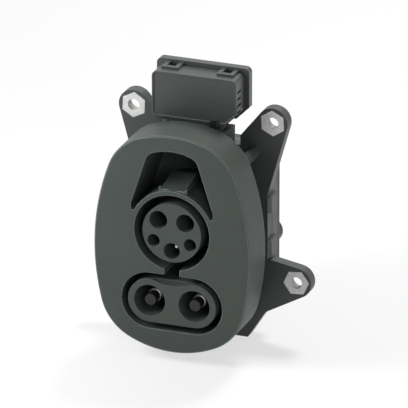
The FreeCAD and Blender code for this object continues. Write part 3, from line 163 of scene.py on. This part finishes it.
class Shader:
    """A material's node tree with short calls for the nodes that every finish uses."""

    def __init__(self, name, base, roughness, metallic=0.0):
        self.material = bpy.data.materials.new(name)
        self.material.use_nodes = True
        self.tree = self.material.node_tree
        self.surface = self.tree.nodes["Principled BSDF"]
        self.surface.inputs["Base Color"].default_value = (*base, 1.0)
        self.surface.inputs["Roughness"].default_value = roughness
        self.surface.inputs["Metallic"].default_value = metallic
        self.place = self.add("ShaderNodeTexCoord").outputs["Object"]
        self.base = base
        self.colour = None
        self.normal = None

    def add(self, kind, **values):
        """Add a node and set its inputs by name, with _ for each space."""
        node = self.tree.nodes.new(kind)
        for name, value in values.items():
            node.inputs[name.replace("_", " ")].default_value = value
        return node

    def link(self, output, socket):
        self.tree.links.new(output, socket)

    def noise(self, scale, detail=2.0, stretch=None):
        node = self.add("ShaderNodeTexNoise", Scale=scale, Detail=detail)
        source = self.place
        if stretch is not None:
            mapping = self.add("ShaderNodeMapping", Scale=stretch)
            self.link(source, mapping.inputs["Vector"])
            source = mapping.outputs["Vector"]
        self.link(source, node.inputs["Vector"])
        return node.outputs["Fac"]

    def spread(self, output, low, high, first=0.3, last=0.7):
        """Map a value from one span, by default a noise's usual one, to a low and a high value."""
        node = self.add("ShaderNodeMapRange",
                        From_Min=first, From_Max=last, To_Min=low, To_Max=high)
        self.link(output, node.inputs["Value"])
        return node.outputs["Result"]

    def vary_roughness(self, output, low, high):
        self.link(self.spread(output, low, high), self.surface.inputs["Roughness"])

    def scaled_base(self, factor):
        """The base colour, lighter or darker by a factor, with full alpha."""
        return (*[min(1.0, c * factor) for c in self.base], 1.0)

    def mix_colours(self, factor):
        """A colour mix driven by a factor; its inputs A and B are set by the caller."""
        mix = self.add("ShaderNodeMix")
        mix.data_type = "RGBA"
        self.link(factor, mix.inputs["Factor"])
        return mix

    def vary_colour(self, output, amount):
        """Lighten and darken the base colour by a small share."""
        mix = self.mix_colours(self.spread(output, 0.0, 1.0))
        mix.inputs["A"].default_value = self.scaled_base(1 - amount)
        mix.inputs["B"].default_value = self.scaled_base(1 + amount)
        self.colour = mix.outputs["Result"]
        self.link(self.colour, self.surface.inputs["Base Color"])

    def round_edges(self, radius):
        """Round the shaded edges by a radius in millimetres."""
        bevel = self.add("ShaderNodeBevel", Radius=radius * MM)
        bevel.samples = 4
        self.normal = bevel.outputs["Normal"]
        self.link(self.normal, self.surface.inputs["Normal"])

    def highlight_edges(self, amount):
        """Lighten the colour where the rounded normal leaves the flat one: a painted highlight
        along the edges.
        """
        dot = self.add("ShaderNodeVectorMath")
        dot.operation = "DOT_PRODUCT"
        self.link(self.normal, dot.inputs[0])
        self.link(self.add("ShaderNodeNewGeometry").outputs["Normal"], dot.inputs[1])
        # share of the painted edge highlight, full where the rounded normal turns furthest
        highlighted = self.spread(dot.outputs["Value"], 1.0, 0.0, FULL_HIGHLIGHT_COSINE, NO_HIGHLIGHT_COSINE)
        mix = self.mix_colours(highlighted)
        mix.inputs["B"].default_value = self.scaled_base(amount)
        self.link(self.colour, mix.inputs["A"])
        self.link(mix.outputs["Result"], self.surface.inputs["Base Color"])

    def bump(self, output, strength, depth):
        """Raise and sink the surface by a depth in millimetres, on top of any rounded edges."""
        node = self.add("ShaderNodeBump", Strength=strength, Distance=depth * MM)
        self.link(output, node.inputs["Height"])
        if self.normal is not None:
            self.link(self.normal, node.inputs["Normal"])
        self.normal = node.outputs["Normal"]
        self.link(self.normal, self.surface.inputs["Normal"])

    def whiten(self, share):
        """Blend the surface towards plain white where the camera or a reflection sees it."""
        white = self.add("ShaderNodeEmission", Color=(1.0, 1.0, 1.0, 1.0), Strength=1.0)
        blend = self.add("ShaderNodeMixShader")
        self.link(seen_strength(self.tree, 0.0, share), blend.inputs["Fac"])
        self.link(self.surface.outputs["BSDF"], blend.inputs[1])
        self.link(white.outputs["Emission"], blend.inputs[2])
        self.link(blend.outputs["Shader"], self.tree.nodes["Material Output"].inputs["Surface"])


def moulded_plastic(name, base, roughness, grain, gloss=0.5, rounding=EDGE_ROUNDING, edge_highlight=2.2):
    """Glass-filled plastic: spark-eroded grain of a depth in millimetres, faint flow clouds, and
    edges lightened by a factor as a painted highlight.
    """
    shader = Shader(name, base, roughness)
    shader.surface.inputs["Specular IOR Level"].default_value = gloss
    shader.round_edges(rounding)
    shader.vary_colour(shader.noise(FLOW_CLOUDS, detail=4.0), amount=0.05)
    # lighten the rounded edges by a factor: a painted highlight
    shader.highlight_edges(edge_highlight)
    shader.vary_roughness(shader.noise(PLASTIC_SHEEN, detail=3.0), roughness - 0.02,
                          roughness + 0.03)
    shader.bump(shader.noise(PLASTIC_GRAIN), strength=0.3, depth=grain)
    return shader.material


def plated_steel(name, base, roughness, metallic=1.0):
    """Zinc-plated steel: blotchy sheen and short drawing marks."""
    shader = Shader(name, base, roughness, metallic)
    shader.round_edges(EDGE_ROUNDING)
    shader.vary_colour(shader.noise(PLATING_BLOTCHES, detail=4.0), amount=0.08)
    shader.vary_roughness(shader.noise(PLATING_SHEEN, detail=3.0), roughness - 0.08,
                          roughness + 0.1)
    shader.bump(shader.noise(DRAWING_MARKS, stretch=(1.0, 6.0, 1.0)), strength=0.2, depth=0.03)
    return shader.material


def silver_contact(name, base, roughness):
    """Turned, silver-plated copper: fine rings round the pin and a slight tarnish."""
    shader = Shader(name, base, roughness, metallic=1.0)
    shader.round_edges(EDGE_ROUNDING)
    shader.vary_colour(shader.noise(TARNISH, detail=3.0), amount=0.12)
    rings = shader.noise(TURNING_RINGS, detail=1.0, stretch=(0.05, 1.0, 0.05))
    shader.bump(rings, strength=0.3, depth=0.02)
    return shader.material


def soft_rubber(name, base):
    """Seal rubber: dull, with a fine grain."""
    shader = Shader(name, base, roughness=0.75)
    shader.round_edges(EDGE_ROUNDING)
    shader.vary_roughness(shader.noise(RUBBER_SHEEN, detail=3.0), 0.66, 0.84)
    shader.bump(shader.noise(RUBBER_GRAIN), strength=0.3, depth=0.03)
    return shader.material


def laminate(name, base):
    """Circuit board: solder mask over a woven glass base."""
    shader = Shader(name, base, roughness=0.35)
    shader.vary_colour(shader.noise(MASK_CLOUDS), amount=0.15)
    shader.bump(shader.noise(GLASS_WEAVE, detail=1.0), strength=0.2, depth=0.02)
    return shader.material


# Finishes of single nodes, which go before the finish of their material slot
NODE_FINISHES = {
    # The plate's base is darker than the housing plastic as painted shade, and the rear housing's
    # base is lighter as painted light
    "mounting_plate": moulded_plastic("plate_plastic_painted_shade", (0.046, 0.052, 0.049), 0.42,
                                      grain=0.04, gloss=0.35),
    "rear_housing": moulded_plastic("rear_plastic_painted_light", (0.078, 0.088, 0.082), 0.45,
                                    grain=0.03, gloss=0.3),
    "actuator_housing": moulded_plastic("box_plastic", (0.033, 0.039, 0.036), 0.36,
                                        grain=0.01, gloss=0.6, rounding=0.4, edge_highlight=2.6),
}
NODE_FINISHES["actuator_lid"] = NODE_FINISHES["actuator_housing"]
FINISHES = {
    "housing_plastic": moulded_plastic("housing_plastic", (0.054, 0.064, 0.058), 0.45,
                                       grain=0.03, gloss=0.16, rounding=0.55, edge_highlight=4.5),
    "insert_plastic": moulded_plastic("insert_plastic", (0.056, 0.066, 0.06), 0.5,
                                      grain=0.03, gloss=0.15),
    "guard_plastic": moulded_plastic("guard_plastic", (0.014, 0.015, 0.015), 0.4,
                                     grain=0.02, gloss=0.3),
    "bolt_plastic": moulded_plastic("bolt_plastic", (0.02, 0.021, 0.022), 0.42, grain=0.02),
    "gear_plastic": moulded_plastic("gear_plastic", (0.74, 0.73, 0.68), 0.38, grain=0.01),
    "switch_plastic": moulded_plastic("switch_plastic", (0.02, 0.02, 0.021), 0.35, grain=0.01),
    "sensor_plastic": moulded_plastic("sensor_plastic", (0.7, 0.69, 0.64), 0.45, grain=0.01),
    "nut_steel": plated_steel("nut_steel", (0.56, 0.56, 0.55), 0.55, metallic=0.35),
    "screw_steel": plated_steel("screw_steel", (0.5, 0.5, 0.5), 0.38),
    "spring_steel": plated_steel("spring_steel", (0.1, 0.105, 0.1), 0.35),
    "pin_steel": plated_steel("pin_steel", (0.62, 0.62, 0.62), 0.3),
    "motor_steel": plated_steel("motor_steel", (0.52, 0.52, 0.52), 0.35),
    "contact_silver": silver_contact("contact_silver", (0.8, 0.8, 0.79), 0.36),
    "seal_rubber": soft_rubber("seal_rubber", (0.02, 0.021, 0.022)),
    "board_laminate": laminate("board_laminate", (0.03, 0.14, 0.06)),
}


def dress_cad_nodes():
    """Give every CAD node its own finish, or else the finish of its material slot."""
    for row in frame["record"]["subparts"]:
        materials = nodes[row["node"]].data.materials
        materials.clear()
        materials.append(NODE_FINISHES.get(row["node"], FINISHES[row["material_slot"]]))


def add_piece(name, mesh, slot):
    """Put a mesh into the scene as a piece of the inlet with the finish of a material slot."""
    piece = bpy.data.objects.new(name, mesh)
    bpy.context.collection.objects.link(piece)
    mesh.materials.clear()
    mesh.materials.append(FINISHES[slot])
    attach(piece, BODY)


def mesh_of_curve(curve):
    """Turn a curve or text into a mesh and drop the curve."""
    holder = bpy.data.objects.new("curve_holder", curve)
    bpy.context.collection.objects.link(holder)
    bpy.context.view_layer.update()
    evaluated = holder.evaluated_get(bpy.context.evaluated_depsgraph_get())
    mesh = bpy.data.meshes.new_from_object(evaluated)
    bpy.data.objects.remove(holder)
    return mesh


def merge(shape, mesh, matrix):
    """Add a moved copy of a mesh to a bmesh."""
    copy = bmesh.new()
    copy.from_mesh(mesh)
    bmesh.ops.transform(copy, matrix=matrix, verts=copy.verts)
    moved = bpy.data.meshes.new("moved")
    copy.to_mesh(moved)
    copy.free()
    shape.from_mesh(moved)
    bpy.data.meshes.remove(moved)


def finish_mesh(shape, name, smooth=True):
    """Turn a bmesh into a mesh, shaded smooth between its sharp edges or flat."""
    mesh = bpy.data.meshes.new(name)
    bmesh.ops.recalc_face_normals(shape, faces=shape.faces)
    for face in shape.faces:
        face.smooth = smooth
    shape.to_mesh(mesh)
    shape.free()
    if smooth:
        mesh.set_sharp_from_angle(angle=SHARP_ANGLE)
    return mesh


def place(x, y, z, turn):
    """Matrix that stands a flat XY drawing up in the XZ plane, turned about X by some degrees."""
    move = Matrix.Translation(Vector((x, y, z)) * MM)
    return move @ Matrix.Rotation(math.radians(turn), 4, "X")


def place_behind(x, y, z):
    """Matrix for a drawing that faces the rear."""
    return place(x, y, z, -90.0)


def place_in_front(x, y, z):
    """Matrix for a drawing that faces the front."""
    return place(x, y, z, 90.0)


def ridge(shape, x, z):
    """A triangular thread ridge that winds through a nut's bore."""
    length = NUT_BACK - NUT_FRONT - THREAD_PITCH
    steps = int(THREAD_STEPS * length / THREAD_PITCH)
    rows = []
    for step in range(steps + 1):
        angle = 2 * math.pi * step / THREAD_STEPS
        fade = min(1.0, step / THREAD_RUNOUT_STEPS, (steps - step) / THREAD_RUNOUT_STEPS)
        middle = NUT_FRONT + THREAD_PITCH / 2 + THREAD_PITCH * step / THREAD_STEPS
        profile = ((THREAD_ROOT, middle - THREAD_HALF_WIDTH),
                   (NUT_BORE - THREAD_HEIGHT * fade, middle),
                   (THREAD_ROOT, middle + THREAD_HALF_WIDTH))
        rows.append([shape.verts.new(Vector((x + radius * math.cos(angle), level,
                                             z + radius * math.sin(angle))) * MM)
                     for radius, level in profile])
    for first, second in zip(rows, rows[1:]):
        for index in (0, 1):
            shape.faces.new((first[index], first[index + 1], second[index + 1], second[index]))


def add_nut_threads():
    shape = bmesh.new()
    for x, z in NUT_PLACES:
        ridge(shape, x, z)
    add_piece("nut_threads", finish_mesh(shape, "nut_threads"), "nut_steel")


def crown_mesh(radius):
    """A low round crown for a screw head with a cross recess through it."""
    curve = bpy.data.curves.new("crown", "CURVE")
    curve.dimensions = "2D"
    curve.fill_mode = "BOTH"
    curve.extrude = CROWN_THICKNESS * MM / 2
    curve.bevel_depth = CROWN_BEVEL * MM
    arm = radius * CROSS_REACH
    half = radius * CROSS_WIDTH / 2
    cross = [(arm, -half), (arm, half), (half, half), (half, arm), (-half, arm), (-half, half),
             (-arm, half), (-arm, -half), (-half, -half), (-half, -arm), (half, -arm),
             (half, -half)]
    angles = [2 * math.pi * side / CROWN_SIDES for side in range(CROWN_SIDES)]
    rim = [(radius * math.cos(angle), radius * math.sin(angle)) for angle in angles]
    for points in (rim, cross):
        spline = curve.splines.new("POLY")
        spline.points.add(len(points) - 1)
        for point, (x, y) in zip(spline.points, points):
            point.co = (x * MM, y * MM, 0.0, 1.0)
        spline.use_cyclic_u = True
    return mesh_of_curve(curve)


def add_screw_crowns(name, places, level, radius):
    """The domed tops of hexagon screws, each turned another way."""
    crown = crown_mesh(radius)
    shape = bmesh.new()
    for index, (x, z) in enumerate(places):
        turn = Matrix.Rotation(CROWN_TURN * index, 4, "Z")
        merge(shape, crown, place_behind(x, level + CROWN_LIFT, z) @ turn)
    add_piece(name, finish_mesh(shape, name), "screw_steel")


def lip(shape, x, z):
    """A round ring on the rubber seal's face."""
    rows = []
    for step in range(LIP_STEPS):
        around = 2 * math.pi * step / LIP_STEPS
        row = []
        for side in range(LIP_SIDES):
            turn = 2 * math.pi * side / LIP_SIDES
            radius = LIP_RADIUS + LIP_THICKNESS_RADIUS * math.cos(turn)
            level = SEAL_FACE + LIP_THICKNESS_RADIUS * math.sin(turn)
            row.append(shape.verts.new(Vector((x + radius * math.cos(around), level,
                                               z + radius * math.sin(around))) * MM))
        rows.append(row)
    for step, row in enumerate(rows):
        following = rows[(step + 1) % LIP_STEPS]
        for side in range(LIP_SIDES):
            beside = (side + 1) % LIP_SIDES
            shape.faces.new((row[side], following[side], following[beside], row[beside]))


def add_seal_lips():
    """A soft lip round each wire bore of the rubber seal."""
    shape = bmesh.new()
    for x, z in WIRE_BORES:
        lip(shape, x, z)
    add_piece("wire_seal_lips", finish_mesh(shape, "wire_seal_lips"), "seal_rubber")


def add_contact_marks():
    """Low moulded letters beside the contacts, the plug standard's names for them."""
    shape = bmesh.new()
    for text, x, z in MARKS:
        curve = bpy.data.curves.new("mark", "FONT")
        curve.body = text
        curve.align_x = "CENTER"
        curve.align_y = "CENTER"
        curve.size = MARK_SIZE * MM
        curve.extrude = MARK_RISE * MM
        curve.resolution_u = 3
        merge(shape, mesh_of_curve(curve), place_in_front(x, INSERT_FACE, z))
    add_piece("contact_marks", finish_mesh(shape, "contact_marks", smooth=False),
              "insert_plastic")


def add_floor():
    """A wide pale floor just below the object's lowest point."""
    level = cad_bounds[0][2] - FLOOR_GAP
    bpy.ops.mesh.primitive_plane_add(size=FLOOR_SIZE, location=(0.0, FLOOR_BACK, level))
    floor = bpy.context.object
    floor.name = "floor"
    shader = Shader("floor_paper", FLOOR_COLOUR, roughness=0.9)
    shader.surface.inputs["Specular IOR Level"].default_value = 0.0
    shader.vary_colour(shader.noise(PAPER_CLOUDS), amount=0.01)
    shader.whiten(FLOOR_WHITENING)
    floor.data.materials.append(shader.material)


def add_lamp(name, location, diameter, power):
    """A round area lamp that is aimed at the object and hidden from the camera."""
    light = bpy.data.lights.new(name, "AREA")
    light.shape = "DISK"
    light.size = diameter
    light.energy = power
    lamp = bpy.data.objects.new(name, light)
    bpy.context.collection.objects.link(lamp)
    lamp.location = location
    lamp.visible_camera = False
    toward = Vector(LAMP_AIM) - Vector(location)
    lamp.rotation_euler = toward.to_track_quat("-Z", "Y").to_euler()


def add_light():
    world = bpy.data.worlds.new("studio")
    bpy.context.scene.world = world
    world.use_nodes = True
    tree = world.node_tree
    background = tree.nodes["Background"]
    background.inputs["Color"].default_value = (1.0, 1.0, 1.0, 1.0)
    strength = seen_strength(tree, WORLD_LIGHT, WORLD_SEEN)
    tree.links.new(strength, background.inputs["Strength"])
    for lamp in LAMPS:
        add_lamp(*lamp)


def add_camera():
    data = bpy.data.cameras.new("camera")
    camera = bpy.data.objects.new("camera", data)
    bpy.context.collection.objects.link(camera)
    toward = Vector((-math.sin(VIEW_AZIMUTH) * math.cos(VIEW_ELEVATION),
                     math.cos(VIEW_AZIMUTH) * math.cos(VIEW_ELEVATION),
                     -math.sin(VIEW_ELEVATION)))
    camera.location = AIM - toward * CAMERA_DISTANCE
    camera.rotation_euler = toward.to_track_quat("-Z", "Y").to_euler()
    data.sensor_width = SENSOR_WIDTH
    data.lens = SENSOR_WIDTH * CAMERA_DISTANCE / FRAME_WIDTH
    data.clip_end = CLIP_END
    bpy.context.scene.camera = camera
    bpy.context.scene.view_settings.view_transform = "Standard"


dress_cad_nodes()
add_nut_threads()
for crowns, (places, level, radius) in SCREW_CROWNS.items():
    add_screw_crowns(crowns, places, level, radius)
add_seal_lips()
add_contact_marks()
add_floor()
add_light()
add_camera()
